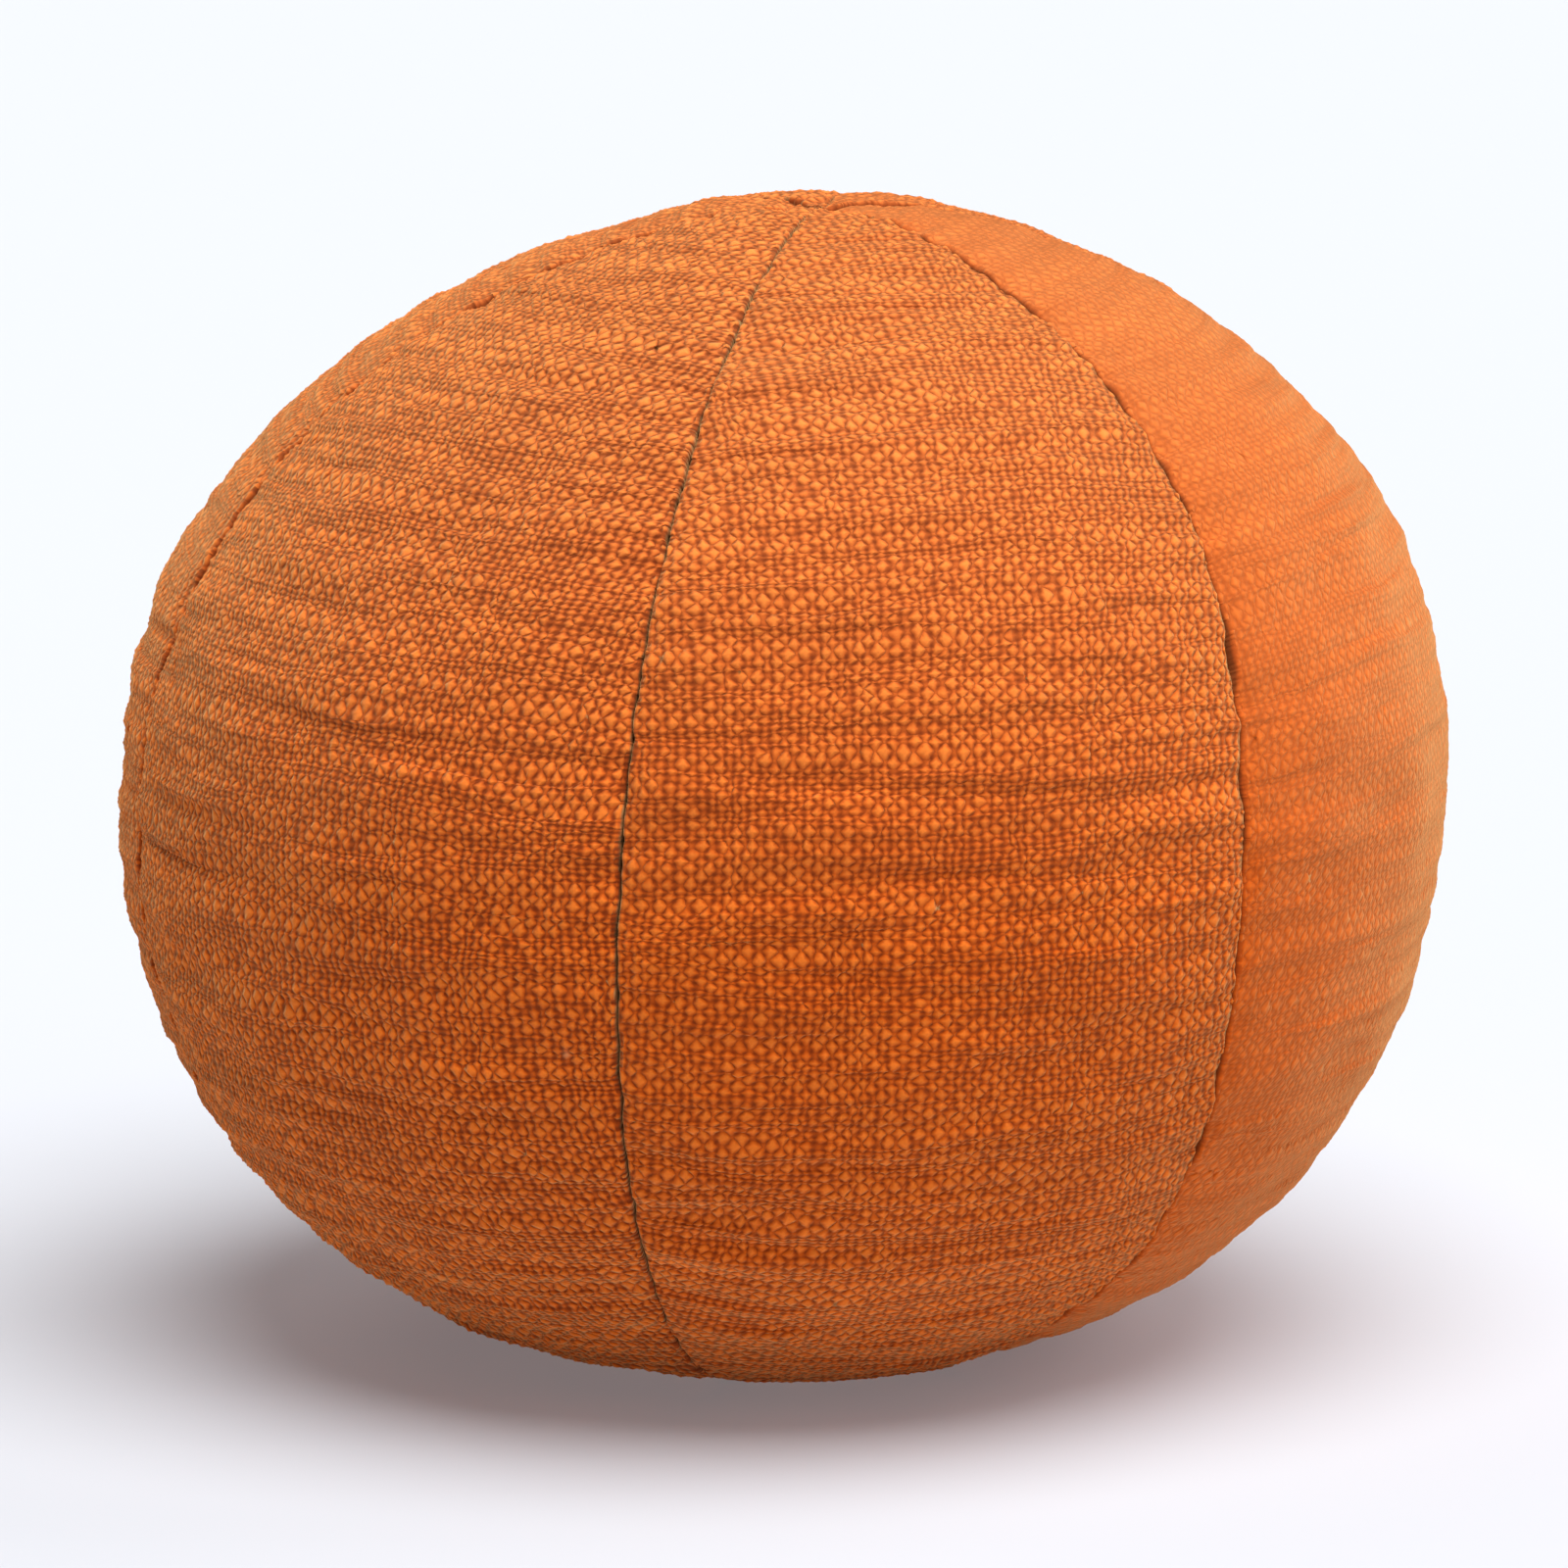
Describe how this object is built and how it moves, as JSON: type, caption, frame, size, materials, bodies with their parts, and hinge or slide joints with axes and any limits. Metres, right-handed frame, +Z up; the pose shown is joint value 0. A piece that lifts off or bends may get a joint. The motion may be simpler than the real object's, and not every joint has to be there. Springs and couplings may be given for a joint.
{
  "type": "ball-shaped accent pillow",
  "caption": "Ball-shaped accent pillow of pointed cloth gores, stuffed firm, with drawn-in seams that meet at the top and a small flat spot to rest on.",
  "frame": {"origin": "middle of the pillow's footprint, at the level of the flat spot that it rests on", "axes": "+Z up through the poles, the pillow's shortest way; -Y towards the front, +X to the front's right"},
  "size_m": [0.3013, 0.3017, 0.2612],
  "materials": {
    "nubby_cloth": "matt nubby plain weave of slub yarn, burnt orange"
  },
  "bodies": {
    "root": {"gore_1": "nubby_cloth", "gore_2": "nubby_cloth", "gore_3": "nubby_cloth", "gore_4": "nubby_cloth", "gore_5": "nubby_cloth", "gore_6": "nubby_cloth"}
  },
  "joints": []
}
